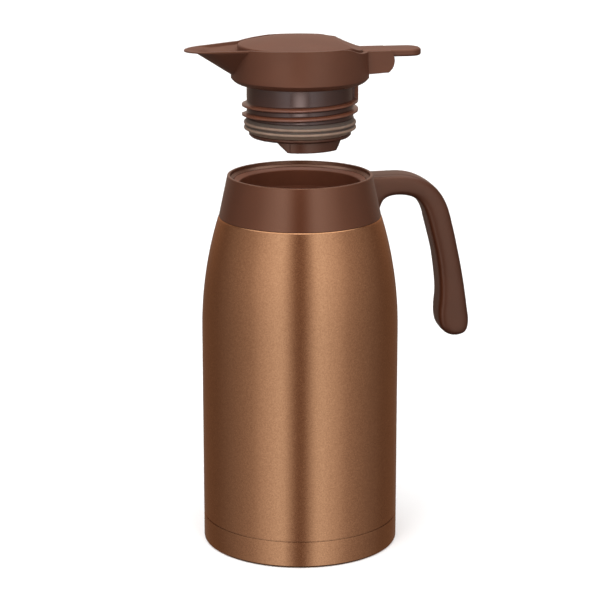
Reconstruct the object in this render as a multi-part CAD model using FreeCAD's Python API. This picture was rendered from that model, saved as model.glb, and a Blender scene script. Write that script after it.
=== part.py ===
"""Thermal pot: a vacuum jacket with a plastic collar and handle, and a lever stopper lifted off its mouth.

Millimetres, +Z up. The origin is the middle of the base on the table. The handle points along +X and the
spout along -X. Heights of the stopper are written for the closed pot; the stopper is then raised by its lift.
"""
import FreeCAD, Part
import math
import os

# Gaps and cuts shared by all the pieces
overrun = 5.0
fit_gap = 0.05
pin_gap = 0.08
move_gap = 0.3

# Steel jacket
body_radius = 69.1
shell_wall = 0.6
seam_height = 19.8
seam_gap = 0.6
shoulder_start = 156.0
shoulder_radius = 270.0
shoulder_rise = 79.3
shelf_edge = 0.8
neck_cone_rise = 13.9
lip_rise = 19.9

# Cup under the jacket, its cover disc and the bead that closes the pumping hole
cap_wall = 0.7
cap_lap = 6.0
base_corner = 2.0
foot_width = 9.0
foot_slope = 2.0
base_recess = 3.0
pump_hole_radius = 2.0
bead_radius = 4.0
bead_height = 1.2
base_disc_margin = 2.0
base_disc_thickness = 1.0

# Inner bottle, with its foil and getter
vacuum_gap = 7.5
vessel_wall = 0.5
vessel_floor = 14.0
vessel_floor_corner = 12.0
vessel_shoulder_round = 34.0
vessel_neck_round = 16.0
sealing_neck_length = 21.6
vessel_step_drop = 1.5
foil_gap = 0.4
foil_thickness = 0.2
foil_margin = 8.0
getter_radius = 6.0
getter_height = 3.0

# Stopper neck and its thread; its radius is a share of the jacket's
stopper_radius_share = 0.5326
stopper_wall = 2.6
stopper_neck_length = 23.5
thread_height = 3.3
thread_lead = 6.4
thread_root_width = 4.2
thread_tip_width = 1.2
thread_sink = 0.5
thread_turns = 1.5
thread_top_drop = 11.8
thread_start_angle = -10.0
stop_rib_width = 3.0
stop_rib_drop = 2.0
neck_flange_width = 4.0
neck_flange_thickness = 2.0

# Neck liner and its gasket
thread_gap = 0.4
liner_ridge = 1.0
liner_step = 0.6
liner_step_drop = 11.4
liner_wall = 2.8
liner_crown = 1.1
liner_crown_fall = 1.4
liner_mouth_round = 0.5
liner_flange_width = 3.0
liner_turns = 1.25
gasket_thickness = 1.2
gasket_inset = 0.2

# Collar
collar_height = 29.1
collar_wall = 2.6
collar_inset = 0.5
collar_neck_gap = 0.8
rim_thickness = 2.0
rim_round = 0.8
recess_depth = 2.4
ledge_width = 2.5
ledge_fall = 1.5

# Handle, its cover plate and its screws
handle_drop = 1.3
handle_reach = 64.6
handle_height = 117.6
handle_width = 25.0
handle_edge_round = 4.0
handle_root_sink = 12.0
grip_pocket_width = 16.0
grip_pocket_depth = 13.5
grip_cover_thickness = 2.2
grip_pocket_top = 31.0
grip_pocket_bottom = 98.0
screw_radius = 1.9
screw_head_radius = 2.9
screw_head_height = 1.8
screw_reach = 13.0
screw_neck_gap = 1.08
screw_boss_rim = 1.2
screw_spread = 6.0
screw_drop = 12.6
# Share of the reach, and share of the height below the flat top, from the end of the flat top round the foot
handle_outline_shares = (
    (0.248, 0.000),
    (0.416, 0.026),
    (0.614, 0.100),
    (0.720, 0.191),
    (0.782, 0.303),
    (0.847, 0.453),
    (0.917, 0.641),
    (0.969, 0.831),
    (0.987, 0.930),
    (0.950, 0.977),
    (0.870, 0.994),
    (0.760, 0.985),
    (0.672, 0.940),
    (0.640, 0.866),
    (0.653, 0.745),
    (0.638, 0.628),
    (0.607, 0.505),
    (0.551, 0.374),
    (0.497, 0.262),
    (0.442, 0.184),
    (0.354, 0.137),
    (0.248, 0.121),
    (0.100, 0.123),
    (0.022, 0.146),
    (-0.012, 0.188),
)

# Packing ring, and the seat ring with its lugs
packing_stand = 2.0
packing_height = 10.6
packing_wall = 3.4
packing_rib = 1.2
packing_rib_shares = (0.33, 0.67)
packing_rib_half = 1.2
packing_gap = 0.15
spigot_wall = 3.2
seat_flange_inset = 1.5
seat_flange_thickness = 2.6
seat_flange_round = 1.2
seat_sleeve_wall = 2.4
seat_sleeve_length = 7.0
seat_floor_thickness = 2.4
seat_hole_radius = 13.0
seat_lip_height = 1.2
seat_lip_width = 2.0
lug_inset = 5.1
lug_wall = 3.0
lug_drop = 7.4
lug_top_angle = 110.0
lug_low_angle = 75.0
lug_face_angle = 68.0
lug_face_step = 0.8
lug_place = -79.0

# Valve, its guide and its spring
stem_radius = 3.5
valve_radius = 17.0
valve_thickness = 4.2
valve_seal_width = 4.0
valve_seal_thickness = 1.8
valve_rest_gap = 0.1
guide_lip_thickness = 1.5
guide_lip_width = 2.0
guide_sleeve_wall = 1.9
guide_sleeve_length = 5.7
guide_spoke_width = 5.0
guide_spoke_height = 4.0
guide_hub_radius = 7.5
guide_hub_height = 8.0
guide_spokes = 3
spring_wire = 1.2
spring_radius = 5.9
spring_turns = 5
stem_head_width = 8.0
stem_head_length = 13.0
stem_head_height = 12.5
stem_head_rise = 7.3
slot_spare = 2.7
slot_rise = 0.5

# Lid housing with its spout and ears
housing_seat_lift = 0.4
housing_side_gap = 0.7
housing_bulge = 0.75
housing_rim_gap = 1.1
housing_top_inset = 0.9
housing_wall = 3.1
housing_belly = 3.9
housing_belly_run = 2.6
housing_floor = 3.1
housing_rise = 27.5
housing_hole_gap = 0.1
housing_packing_thickness = 1.1
housing_packing_width = 2.4
spout_root_depth = 11.5
spout_wall = 2.2
spout_angle = 17.7
spout_low_nose = 9.5
spout_low_rise = 6.6
spout_mid_reach = 25.0
spout_mid_nose = 20.0
spout_mid_depth = 1.9
spout_top_reach = 32.4
spout_top_nose = 17.6
spout_top_depth = 0.8
spout_lip = 0.9
spout_fall = 3.4
spout_fall_start = 15.0
ear_gap = 1.2
ear_wall = 2.5
ear_rise = 16.0
ear_bottom_rise = 1.2
ear_root_depth = 4.4
ear_reach = 15.9
ear_bottom_reach = 12.0
ear_top_reach = 13.5
rim_fall_run = 24.0
rim_fall_margin = 0.4

# Domed cover with its lever, and its two pins
dome_gap = 1.5
dome_rise = 32.1
dome_crown = 5.3
dome_wall = 2.4
dome_skirt = 5.8
dome_edge_round = 1.5
dome_fall_run = 36.0
dome_fall_margin = 5.1
lever_width = 22.0
lever_thickness = 5.0
lever_rise = 22.6
lever_root_depth = 8.9
lever_reach = 36.7
lever_end_round = 9.0
lever_edge_round = 1.6
lever_gap = 0.5
hinge_reach = 8.5
hinge_rise = 14.0
hinge_pin_radius = 1.6
hinge_pin_blind = 1.0
knuckle_radius = 4.6
link_rise = 22.0
link_pin_radius = 1.2
link_lug_gap = 1.0
link_lug_wall = 2.4
link_lug_radius = 3.4

# How far the stopper is lifted off the mouth
stopper_lift = 69.1

full_turn = 360.0
up = FreeCAD.Vector(0, 0, 1)
along_x = FreeCAD.Vector(1, 0, 0)
along_y = FreeCAD.Vector(0, 1, 0)
middle = FreeCAD.Vector(0, 0, 0)

# Heights of the jacket and the collar, worked out from the base upwards
shoulder_angle = math.asin(shoulder_rise / shoulder_radius)
shoulder_centre = body_radius - shoulder_radius
shoulder_end = shoulder_centre + shoulder_radius * math.cos(shoulder_angle)
shelf_height = shoulder_start + shoulder_rise + shelf_edge
shelf_radius = shoulder_end - shelf_edge
lip_height = shelf_height + lip_rise
collar_top = shelf_height + collar_height
rim_low = collar_top - recess_depth
ledge_low = rim_low - ledge_fall

# Radii at the mouth, worked out from the stopper outwards
stopper_radius = body_radius * stopper_radius_share
packing_radius = stopper_radius + packing_stand
seat_flange_radius = stopper_radius - seat_flange_inset
lug_radius = seat_flange_radius - lug_inset
thread_tip = stopper_radius + thread_height
liner_ridge_tip = thread_tip + thread_gap
liner_lower_bore = liner_ridge_tip + liner_ridge
mouth_radius = liner_lower_bore + liner_step
liner_radius = mouth_radius + liner_wall
vessel_mouth_bore = liner_radius + 2 * fit_gap
neck_radius = vessel_mouth_bore + vessel_wall + fit_gap + shell_wall
crown_radius = liner_radius + liner_crown
liner_flange_radius = liner_radius + liner_flange_width
ledge_radius = crown_radius + 2 * fit_gap
recess_radius = ledge_radius + ledge_width
collar_top_radius = recess_radius + rim_thickness
collar_foot_radius = shoulder_end - collar_inset
neck_foot_radius = collar_foot_radius - collar_wall - collar_neck_gap
crown_top = ledge_low - fit_gap
mouth_top = crown_top - liner_crown_fall

# Inner bottle
vessel_radius = body_radius - shell_wall - vacuum_gap - vessel_wall
sealing_bore = packing_radius + move_gap
vessel_step = shelf_height - vessel_step_drop
sealing_neck_low = vessel_step - sealing_neck_length
vessel_turn = vessel_shoulder_round + vessel_neck_round
vessel_shoulder_angle = math.acos(1 - (vessel_radius - sealing_bore) / vessel_turn)
vessel_shoulder = sealing_neck_low - vessel_turn * math.sin(vessel_shoulder_angle)
lap_radius = body_radius - shell_wall - fit_gap

# Stopper, closed
lid_base = mouth_top + housing_seat_lift
packing_top = lid_base - stopper_neck_length
packing_low = packing_top - packing_height
spigot_radius = packing_radius - packing_rib - packing_wall
seat_top = packing_low + seat_floor_thickness + seat_lip_height
floor_top = lid_base + housing_floor
flange_low = floor_top + housing_packing_thickness
stopper_top = flange_low + neck_flange_thickness
stopper_bore = stopper_radius - stopper_wall
hole_radius = stopper_radius + housing_hole_gap
hub_low = stopper_top - guide_hub_height
valve_low = seat_top + valve_rest_gap
valve_top = valve_low + valve_seal_thickness + valve_thickness
housing_radius = recess_radius - housing_rim_gap
housing_bore = housing_radius - housing_wall
spout_back = housing_radius - spout_root_depth
spout_mid_tip = housing_radius + spout_mid_reach
spout_top_tip = housing_radius + spout_top_reach
ear_root = housing_bore - ear_root_depth
rim_fall_end = housing_bore - rim_fall_margin
rim_fall_start = rim_fall_end - rim_fall_run
hinge_place = housing_radius + hinge_reach
housing_top = lid_base + housing_rise
ear_low = collar_top + ear_gap
ear_top = ear_low + ear_rise
ear_inner = lever_width / 2 + lever_gap
ear_outer = ear_inner + ear_wall
hinge_height = lid_base + hinge_rise
link_height = lid_base + link_rise
dome_radius = housing_bore - dome_gap
dome_fall_end = dome_radius + dome_fall_margin
dome_fall_start = dome_fall_end - dome_fall_run
lever_root = dome_radius - lever_root_depth
lever_end = housing_radius + lever_reach
dome_top = lid_base + dome_rise
dome_edge = dome_top - dome_crown
dome_ball = (dome_radius ** 2 + dome_crown ** 2) / (2 * dome_crown)
lever_top = lid_base + lever_rise
lever_low = lever_top - lever_thickness
handle_top = collar_top - handle_drop
screw_height = collar_top - screw_drop


def at(across, height):
    """Point in the XZ plane."""
    return FreeCAD.Vector(across, 0, height)


def closed_wire(start, *steps):
    """Closed outline: a step is the next corner, or a pair of a point on an arc and the arc's end."""
    edges = []
    here = start
    for step in steps:
        if isinstance(step, tuple):
            through, end = step
            edges.append(Part.Arc(here, through, end).toShape())
        else:
            end = step
            edges.append(Part.makeLine(here, end))
        here = end
    edges.append(Part.makeLine(here, start))
    return Part.Wire(edges)


def arc_to(across, height, radius, first, last):
    """Arc step about a centre, from one angle to another in radians."""
    def on_arc(angle):
        return at(across + radius * math.cos(angle), height + radius * math.sin(angle))

    return on_arc((first + last) / 2), on_arc(last)


def turned(start, *steps):
    """Solid turned about the pot's axis."""
    return Part.Face(closed_wire(start, *steps)).revolve(middle, up, full_turn)


def tube(inner, outer, low, high):
    """Plain ring about the pot's axis."""
    return turned(at(inner, low), at(outer, low), at(outer, high), at(inner, high))


def slab(wire, low, high):
    """Outline in the XZ plane drawn out along Y."""
    piece = Part.Face(wire).extrude(along_y * (high - low))
    piece.translate(along_y * low)
    return piece


def rod_along_y(across, height, radius, low, high):
    return Part.makeCylinder(radius, high - low, FreeCAD.Vector(across, low, height), along_y)


def block(low_x, high_x, low_y, high_y, low_z, high_z):
    corner = FreeCAD.Vector(low_x, low_y, low_z)
    return Part.makeBox(high_x - low_x, high_y - low_y, high_z - low_z, corner)


def falling_cut(start, start_height, end, end_height):
    """What lies above a line that falls backwards in a smooth S."""
    run = end - start
    fall = start_height - end_height
    radius = (run ** 2 + fall ** 2) / (4 * fall)
    swing = math.asin(run / (2 * radius))
    top = start_height + overrun
    outline = closed_wire(
        at(start, start_height),
        arc_to(start, start_height - radius, radius, math.pi / 2, math.pi / 2 - swing),
        arc_to(end, end_height + radius, radius, -math.pi / 2 - swing, -math.pi / 2),
        at(end + housing_radius, end_height),
        at(end + housing_radius, top),
        at(start, top),
    )
    return slab(outline, -housing_radius, housing_radius)


def thread_ridge(root, tip, sink, low, turns, start_angle):
    """Helical ridge from the root radius to the tip radius, sunk a little into the wall behind it."""
    back = root - math.copysign(sink, tip - root)
    profile = closed_wire(
        at(back, -thread_root_width / 2),
        at(tip, -thread_tip_width / 2),
        at(tip, thread_tip_width / 2),
        at(back, thread_root_width / 2),
    )
    helix = Part.Wire(Part.makeHelix(thread_lead, thread_lead * turns, root))
    ridge = helix.makePipeShell([profile], True, True)
    ridge.rotate(middle, up, start_angle)
    ridge.translate(up * low)
    return ridge


def lifted(shape):
    shape.translate(up * stopper_lift)
    return shape


def save(shape, node):
    shape.exportStep("parts/" + node + ".step")
    print(node, len(shape.Solids), shape.isValid(), round(shape.Volume))


def jacket_block(depth, spare):
    """The jacket's outside, or its inside at a depth below it."""
    return turned(
        at(0, seam_height - spare),
        at(body_radius - depth, seam_height - spare),
        at(body_radius - depth, shoulder_start),
        arc_to(shoulder_centre, shoulder_start, shoulder_radius - depth, 0, shoulder_angle),
        at(shelf_radius, shelf_height - depth),
        at(neck_foot_radius - depth, shelf_height - depth),
        at(neck_radius - depth, shelf_height + neck_cone_rise),
        at(neck_radius - depth, lip_height + spare),
        at(0, lip_height + spare),
    )


def outer_shell():
    return jacket_block(0, 0).cut(jacket_block(shell_wall, overrun))


def bottom_cap():
    """Cup with a foot ring, a recess and a lap that slides up inside the jacket."""
    corner_across = body_radius - base_corner
    inner = lap_radius - cap_wall
    inner_corner = inner - corner_across
    foot_inner = corner_across - foot_width
    joint = seam_height - seam_gap
    return turned(
        at(pump_hole_radius, base_recess),
        at(foot_inner - foot_slope, base_recess),
        at(foot_inner, 0),
        at(corner_across, 0),
        arc_to(corner_across, base_corner, base_corner, -math.pi / 2, 0),
        at(body_radius, joint),
        at(lap_radius, joint),
        at(lap_radius, seam_height + cap_lap),
        at(inner, seam_height + cap_lap),
        at(inner, base_corner),
        arc_to(corner_across, base_corner, inner_corner, 0, -math.pi / 2),
        at(foot_inner, base_corner - inner_corner),
        at(foot_inner - foot_slope, base_recess + cap_wall),
        at(pump_hole_radius, base_recess + cap_wall),
    )


def vacuum_seal():
    """Bead in the pumping hole, with its head inside the jacket."""
    neck = pump_hole_radius - fit_gap
    head_low = base_recess + cap_wall
    return turned(
        at(0, base_recess),
        at(neck, base_recess),
        at(neck, head_low),
        at(bead_radius, head_low),
        at(neck, head_low + bead_height),
        at(0, head_low + bead_height),
    )


def base_disc():
    radius = body_radius - base_corner - foot_width - foot_slope - base_disc_margin
    return Part.makeCylinder(radius, base_disc_thickness, at(0, base_recess - base_disc_thickness))


def vessel_block(grow, spare):
    """The bottle's inside, or its outside grown by the wall."""
    corner_across = vessel_radius - vessel_floor_corner
    step = vessel_step - grow
    return turned(
        at(0, vessel_floor - grow),
        at(corner_across, vessel_floor - grow),
        arc_to(corner_across, vessel_floor + vessel_floor_corner, vessel_floor_corner + grow, -math.pi / 2, 0),
        at(vessel_radius + grow, vessel_shoulder),
        arc_to(vessel_radius - vessel_shoulder_round, vessel_shoulder, vessel_shoulder_round + grow,
               0, vessel_shoulder_angle),
        arc_to(sealing_bore + vessel_neck_round, sealing_neck_low, vessel_neck_round - grow,
               math.pi + vessel_shoulder_angle, math.pi),
        at(sealing_bore + grow, step),
        at(vessel_mouth_bore + grow, step),
        at(vessel_mouth_bore + grow, lip_height + spare),
        at(0, lip_height + spare),
    )


def inner_vessel():
    return vessel_block(vessel_wall, 0).cut(vessel_block(0, overrun))


def foil_shield():
    inner = vessel_radius + vessel_wall + foil_gap
    low = vessel_floor + vessel_floor_corner + foil_margin
    return tube(inner, inner + foil_thickness, low, vessel_shoulder - foil_margin)


def getter():
    return Part.makeCylinder(getter_radius, getter_height, at(0, vessel_floor - vessel_wall - getter_height))


def collar_radius(height):
    """Outside of the collar's cone at a height."""
    share = (height - shelf_height) / collar_height
    return collar_foot_radius + (collar_top_radius - collar_foot_radius) * share


def screw_seat():
    """How far from the axis the screw heads bear, which leaves them clear of the steel neck."""
    return neck_radius + screw_neck_gap + screw_head_height


def screw_rods(radius, low_x, high_x):
    """A rod along X at each of the two screws."""
    rods = []
    for side in (-screw_spread, screw_spread):
        start = FreeCAD.Vector(low_x, side, screw_height)
        rods.append(Part.makeCylinder(radius, high_x - low_x, start, along_x))
    return rods


def collar():
    """Tapered ring with the recess for the lid, and two bosses inside for the handle's screws."""
    under = crown_top - liner_crown_fall - liner_mouth_round
    ring = turned(
        at(collar_foot_radius, shelf_height),
        at(collar_radius(collar_top - rim_round), collar_top - rim_round),
        at(collar_top_radius - rim_round, collar_top),
        at(recess_radius + rim_round / 2, collar_top),
        at(recess_radius, collar_top - rim_round / 2),
        at(recess_radius, rim_low),
        at(ledge_radius, ledge_low),
        at(ledge_radius, under),
        at(collar_radius(under) - collar_wall, under),
        at(collar_foot_radius - collar_wall, shelf_height),
    )
    seat = screw_seat()
    boss_end = collar_radius(screw_height + screw_head_radius) - collar_wall / 2
    for boss in screw_rods(screw_head_radius + screw_boss_rim, seat, boss_end):
        ring = ring.fuse(boss)
    for pocket in screw_rods(screw_head_radius + fit_gap, seat - overrun, seat):
        ring = ring.cut(pocket)
    for hole in screw_rods(screw_radius + fit_gap, seat - overrun, collar_foot_radius):
        ring = ring.cut(hole)
    return ring


def neck_liner():
    """Sleeve inside the steel mouth, hung on the steel lip by its flange, with the inner thread."""
    low = vessel_step + gasket_thickness
    flange_top = crown_top - liner_crown_fall - liner_mouth_round
    flange_low = lip_height + fit_gap
    step = mouth_top - liner_step_drop
    sleeve = turned(
        at(liner_lower_bore, low),
        at(liner_radius, low),
        at(liner_radius, flange_low),
        at(liner_flange_radius, flange_low),
        at(liner_flange_radius, flange_top),
        at(crown_radius, flange_top),
        at(crown_radius, crown_top),
        at(mouth_radius + liner_mouth_round, mouth_top),
        at(mouth_radius, mouth_top - liner_mouth_round),
        at(mouth_radius, step),
        at(liner_lower_bore, step - liner_step),
    )
    ridge_low = low + thread_root_width / 2
    return sleeve.fuse(thread_ridge(liner_lower_bore, liner_ridge_tip, thread_sink, ridge_low, liner_turns, 0))


def liner_gasket():
    return tube(liner_ridge_tip + gasket_inset, liner_radius - gasket_inset, vessel_step,
                vessel_step + gasket_thickness)


def handle_slab(width):
    """The handle's side view drawn out to a width, running into the collar."""
    points = []
    for reach_share, drop_share in handle_outline_shares:
        across = collar_foot_radius + handle_reach * reach_share
        points.append(at(across, handle_top - handle_height * drop_share))
    curve = Part.BSplineCurve()
    curve.interpolate(points)
    inside = collar_foot_radius - handle_root_sink
    edges = [
        Part.makeLine(at(inside, handle_top), points[0]),
        curve.toShape(),
        Part.makeLine(points[-1], at(inside, points[-1].z)),
        Part.makeLine(at(inside, points[-1].z), at(inside, handle_top)),
    ]
    return slab(Part.Wire(edges), -width / 2, width / 2)


def grip_strip(width, depth, margin):
    """The strip of the grip next to the pot, to a depth, between the ends of the pocket."""
    strip = handle_slab(width)
    behind = handle_slab(width)
    behind.translate(along_x * depth)
    low = handle_top - grip_pocket_bottom + margin
    high = handle_top - grip_pocket_top - margin
    reach = collar_foot_radius + handle_reach
    return strip.cut(behind).common(block(0, reach, -width, width, low, high))


def handle():
    """Cantilever handle with rounded edges, a pocket in the grip and two screw holes in the root."""
    bar = handle_slab(handle_width)
    long_edges = []
    for edge in bar.Edges:
        box = edge.BoundBox
        if box.YLength < fit_gap and box.XMax > collar_foot_radius:
            long_edges.append(edge)
    bar = bar.makeFillet(handle_edge_round, long_edges)
    cone = turned(
        at(0, shelf_height - overrun),
        at(collar_radius(shelf_height - overrun), shelf_height - overrun),
        at(collar_radius(collar_top + overrun), collar_top + overrun),
        at(0, collar_top + overrun),
    )
    bar = bar.cut(cone)
    bar = bar.cut(grip_strip(grip_pocket_width, grip_pocket_depth, 0))
    seat = screw_seat()
    for hole in screw_rods(screw_radius + fit_gap, seat, seat + screw_reach + fit_gap):
        bar = bar.cut(hole)
    return bar


def handle_cover():
    return grip_strip(grip_pocket_width - 2 * fit_gap, grip_cover_thickness, fit_gap)


def handle_screws():
    seat = screw_seat()
    heads = screw_rods(screw_head_radius, seat - screw_head_height, seat)
    shanks = screw_rods(screw_radius, seat, seat + screw_reach)
    return Part.makeCompound([head.fuse(shank) for head, shank in zip(heads, shanks)])


def stopper_neck():
    """Tube with the outer thread, a flange that hangs in the housing and a spigot that carries the packing."""
    spigot_bore = spigot_radius - spigot_wall
    flange_radius = stopper_radius + neck_flange_width
    shoulder = packing_top + spigot_wall
    neck = turned(
        at(spigot_bore, packing_low),
        at(spigot_radius, packing_low),
        at(spigot_radius, packing_top),
        at(stopper_radius, packing_top),
        at(stopper_radius, flange_low),
        at(flange_radius, flange_low),
        at(flange_radius, stopper_top),
        at(stopper_bore, stopper_top),
        at(stopper_bore, shoulder),
        at(spigot_bore, shoulder),
    )
    high = lid_base - thread_top_drop
    low = high - thread_lead * thread_turns
    half = stop_rib_width / 2
    rib = block(stopper_radius - thread_sink, thread_tip, -half, half, high, lid_base - stop_rib_drop)
    rib.rotate(middle, up, thread_start_angle)
    ridge = thread_ridge(stopper_radius, thread_tip, thread_sink, low, thread_turns,
                         thread_start_angle - full_turn * thread_turns)
    return neck.fuse(ridge).fuse(rib)


def packing_ring():
    """Silicone ring with two round ribs, drawn in at its lower lip."""
    inner = spigot_radius + packing_gap
    body = packing_radius - packing_rib
    low = packing_low + packing_gap
    high = packing_top - packing_gap
    lip = (inner + body) / 2
    steps = [at(inner, low), at(lip, low), at(body, low + packing_rib)]
    for share in reversed(packing_rib_shares):
        height = high - (high - low) * share
        steps.append(at(body, height - packing_rib_half))
        steps.append((at(packing_radius, height), at(body, height + packing_rib_half)))
    steps += [at(body, high), at(inner, high)]
    return turned(*steps)


def seat_ring():
    """End piece of the stopper: flange under the packing, sleeve, valve seat, and two lugs to turn it by."""
    low = packing_low - seat_flange_thickness
    sleeve = spigot_radius - spigot_wall - fit_gap
    bore = sleeve - seat_sleeve_wall
    floor_high = packing_low + seat_floor_thickness
    ring = turned(
        at(seat_hole_radius, packing_low),
        at(bore, packing_low),
        at(bore, low),
        at(seat_flange_radius - seat_flange_round, low),
        at(seat_flange_radius, low + seat_flange_round),
        at(seat_flange_radius, packing_low),
        at(sleeve, packing_low),
        at(sleeve, packing_low + seat_sleeve_length),
        at(bore, packing_low + seat_sleeve_length),
        at(bore, floor_high),
        at(seat_hole_radius + seat_lip_width, floor_high),
        at(seat_hole_radius + seat_lip_width, seat_top),
        at(seat_hole_radius, seat_top),
    )
    lug_inner = lug_radius - lug_wall
    ramp_ring = tube(lug_inner, lug_radius - lug_face_step, low - lug_drop, low)
    face_ring = tube(lug_inner, lug_radius, low - lug_drop, low)
    for turn in (lug_place, lug_place + full_turn / 2):
        ring = ring.fuse(ramp_ring.common(lug_wedge(low, turn, lug_top_angle, lug_low_angle)))
        ring = ring.fuse(face_ring.common(lug_wedge(low, turn, lug_face_angle, lug_face_angle)))
    return ring


def lug_wedge(low, turn, top_angle, low_angle):
    """Wedge between two spreads in degrees, which a lug is cut from."""
    wires = []
    for height, spread in ((low, top_angle), (low - lug_drop, low_angle)):
        corners = [FreeCAD.Vector(0, 0, height)]
        for side in (-1, 0, 1):
            angle = math.radians(turn + side * spread / 2)
            reach = 2 * lug_radius
            corners.append(FreeCAD.Vector(reach * math.cos(angle), reach * math.sin(angle), height))
        wires.append(Part.makePolygon(corners + corners[:1]))
    return Part.makeLoft(wires, True, True)


def valve_guide():
    """Spider on the neck's top: a lipped sleeve, three spokes and a hub for the stem."""
    sleeve = stopper_bore - fit_gap
    bore = sleeve - guide_sleeve_wall
    lip = sleeve + guide_lip_width
    low = stopper_top - guide_sleeve_length
    spider = turned(
        at(bore, low),
        at(sleeve, low),
        at(sleeve, stopper_top),
        at(lip, stopper_top),
        at(lip, stopper_top + guide_lip_thickness),
        at(bore, stopper_top + guide_lip_thickness),
    )
    half = guide_spoke_width / 2
    for number in range(guide_spokes):
        spoke = block(stem_radius + move_gap, sleeve - fit_gap, -half, half, low, low + guide_spoke_height)
        spoke.rotate(middle, up, full_turn * number / guide_spokes)
        spider = spider.fuse(spoke)
    hub = Part.makeCylinder(guide_hub_radius, guide_hub_height, at(0, hub_low))
    rod_length = guide_hub_height + 2 * overrun
    bore_rod = Part.makeCylinder(stem_radius + pin_gap, rod_length, at(0, hub_low - overrun))
    return spider.fuse(hub).cut(bore_rod)


def valve_stem():
    """Valve head, rod and slotted head that hangs on the link pin."""
    head_low = stopper_top + guide_lip_thickness + stem_head_rise
    head = Part.makeCylinder(valve_radius, valve_thickness, at(0, valve_top - valve_thickness))
    rod = Part.makeCylinder(stem_radius, head_low + fit_gap - valve_top, at(0, valve_top))
    half_length = stem_head_length / 2
    half_width = stem_head_width / 2
    top = block(-half_length, half_length, -half_width, half_width, head_low, head_low + stem_head_height)
    reach = link_pin_radius + slot_spare
    rise = link_pin_radius + slot_rise
    slot = block(-reach, reach, -stem_head_width, stem_head_width, link_height - rise, link_height + rise)
    return head.fuse(rod).fuse(top).cut(slot)


def valve_seal():
    return tube(valve_radius - valve_seal_width - move_gap, valve_radius - move_gap, valve_low,
                valve_low + valve_seal_thickness)


def return_spring():
    """Spring wound round the stem, between the valve head and the guide's hub."""
    rise = hub_low - valve_top - spring_wire - 2 * fit_gap
    pitch = rise / spring_turns
    helix = Part.Wire(Part.makeHelix(pitch, rise, spring_radius))
    circle = Part.Wire(Part.makeCircle(spring_wire / 2, at(spring_radius, 0), along_y))
    coil = helix.makePipeShell([circle], True, True)
    coil.translate(up * (valve_top + spring_wire / 2 + fit_gap))
    print("least gap between the spring's turns", round(pitch - spring_wire, 2))
    return coil


def housing_packing():
    inner = hole_radius + fit_gap
    return tube(inner, inner + housing_packing_width, floor_top, flange_low)


def rim_height(forward):
    """Height of the rim line that falls forwards to the spout's tip."""
    share = (forward - spout_fall_start) / (spout_top_tip - spout_fall_start)
    return housing_top - spout_fall * share


def spout_section(height, tip, nose, back, tilt):
    """Outline of the spout: a round nose with straight sides that spread backwards, tilted about its tip."""
    slope = math.radians(spout_angle)
    centre = tip - nose
    touch_x = centre + nose * math.sin(slope)
    touch_y = nose * math.cos(slope)
    back_y = touch_y + (touch_x - back) * math.tan(slope)

    def place(forward, side):
        return FreeCAD.Vector(-forward, side, height)

    outline = closed_wire(
        place(back, back_y),
        place(touch_x, touch_y),
        (place(tip, 0), place(touch_x, -touch_y)),
        place(back, -back_y),
    )
    outline.rotate(place(tip, 0), along_y, -tilt)
    return outline


def spout_block(inset, back, lip, spare):
    """The spout's outside, or its trough inside it, which leaves a thin lip."""
    tilt = math.degrees(math.atan2(spout_fall, spout_top_tip - spout_fall_start))
    low = lid_base + spout_low_rise + inset
    mid = rim_height(spout_mid_tip) - spout_mid_depth
    top = rim_height(spout_top_tip) - spout_top_depth + lip
    top_tip = spout_top_tip - inset
    top_nose = spout_top_nose - inset
    sections = [
        spout_section(low, housing_radius - inset, spout_low_nose - inset, back, 0),
        spout_section(mid, spout_mid_tip - inset, spout_mid_nose - inset, back, tilt),
        spout_section(top, top_tip, top_nose, back, tilt),
        spout_section(housing_top + spare, top_tip, top_nose, back, 0),
    ]
    return Part.makeLoft(sections, True, True)


def ears():
    """Two cheeks behind the housing that hold the hinge pin."""
    outline = closed_wire(
        at(ear_root, ear_low),
        at(housing_radius + ear_bottom_reach, ear_low + ear_bottom_rise),
        (at(housing_radius + ear_reach, (ear_low + ear_top) / 2), at(housing_radius + ear_top_reach, ear_top)),
        at(ear_root, ear_top),
    )
    return [slab(outline, ear_inner, ear_outer), slab(outline, -ear_outer, -ear_inner)]


def lid_housing():
    """Bowl with the spout in front and the ears behind, open on top."""
    belly = lid_base + housing_belly
    under = at(mouth_radius - housing_side_gap, lid_base)
    edge = at(housing_radius, belly)
    chord = edge - under
    bulge = at(chord.z, -chord.x).normalize() * housing_bulge
    bowl = turned(
        at(hole_radius, lid_base),
        under,
        ((under + edge) / 2 + bulge, edge),
        at(housing_radius, belly + housing_belly_run),
        at(housing_radius - housing_top_inset, housing_top),
        at(housing_bore, housing_top),
        at(housing_bore, floor_top),
        at(hole_radius, floor_top),
    )
    cavity = Part.makeCylinder(housing_bore, housing_rise, at(0, floor_top))
    spout = spout_block(0, spout_back, 0, 0).cut(cavity)
    body = bowl.fuse(spout)
    for ear in ears():
        body = body.fuse(ear.cut(cavity))
    body = body.cut(spout_block(spout_wall, 0, spout_lip, overrun))
    body = body.cut(rim_wedge())
    body = body.cut(falling_cut(rim_fall_start, housing_top, rim_fall_end, ear_top))
    body = body.cut(block(0, housing_radius + overrun, -ear_inner, ear_inner, lever_low - lever_gap,
                          housing_top + overrun))
    return body.cut(rod_along_y(hinge_place, hinge_height, hinge_pin_radius + fit_gap / 2,
                                hinge_pin_blind - ear_outer, ear_outer + overrun))


def rim_wedge():
    """What lies above the rim line."""
    front = spout_top_tip + overrun
    outline = closed_wire(
        at(-spout_fall_start, housing_top),
        at(-front, rim_height(front)),
        at(-front, housing_top + overrun),
        at(-spout_fall_start, housing_top + overrun),
    )
    return slab(outline, -housing_radius, housing_radius)


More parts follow.
